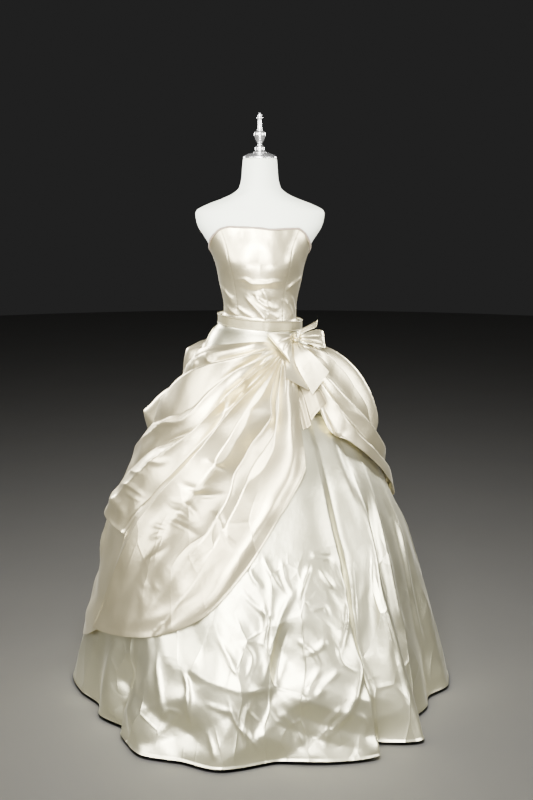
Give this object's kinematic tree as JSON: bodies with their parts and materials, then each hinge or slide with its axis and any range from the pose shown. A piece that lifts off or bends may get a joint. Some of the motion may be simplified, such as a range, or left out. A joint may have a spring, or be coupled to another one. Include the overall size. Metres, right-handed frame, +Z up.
{
  "type": "ball gown on dress form",
  "caption": "Strapless satin ball gown with a draped overskirt, a puffed bustle and a bow at one hip, standing on a limbless dress form with a turned finial.",
  "frame": {"origin": "centre of the underside of the round base, on the floor", "axes": "+Z up along the pole; -Y is the front of the gown; +X is the side of the hip with the bow"},
  "size_m": [1.1754, 1.1758, 1.7256],
  "materials": {
    "satin": "champagne satin with a soft sheen",
    "binding": "darker bias binding of the same satin",
    "form": "white jersey cover, smooth",
    "chrome": "polished chrome plate",
    "stand_paint": "white powder coat"
  },
  "bodies": {
    "root": {"belt": "satin", "bodice_centre_front": "satin", "bodice_side_front_left": "satin", "bodice_side_front_right": "satin", "bodice_side_back_left": "satin", "bodice_side_back_right": "satin", "bodice_back_left": "satin", "bodice_back_right": "satin", "neckline_binding": "binding", "skirt_front": "satin", "skirt_side_left": "satin", "skirt_side_right": "satin", "skirt_back_left": "satin", "skirt_back_right": "satin", "drape_front": "satin", "drape_right": "satin", "bustle": "satin", "cascade": "satin", "bow_knot": "satin", "bow_loop_left": "satin", "bow_loop_right": "satin", "bow_loop_upper": "satin", "bow_tail_front": "satin", "bow_tail_back": "satin", "form_torso": "form", "neck_cap": "chrome", "finial": "chrome", "stand_pole": "stand_paint", "stand_base": "stand_paint"}
  },
  "joints": []
}
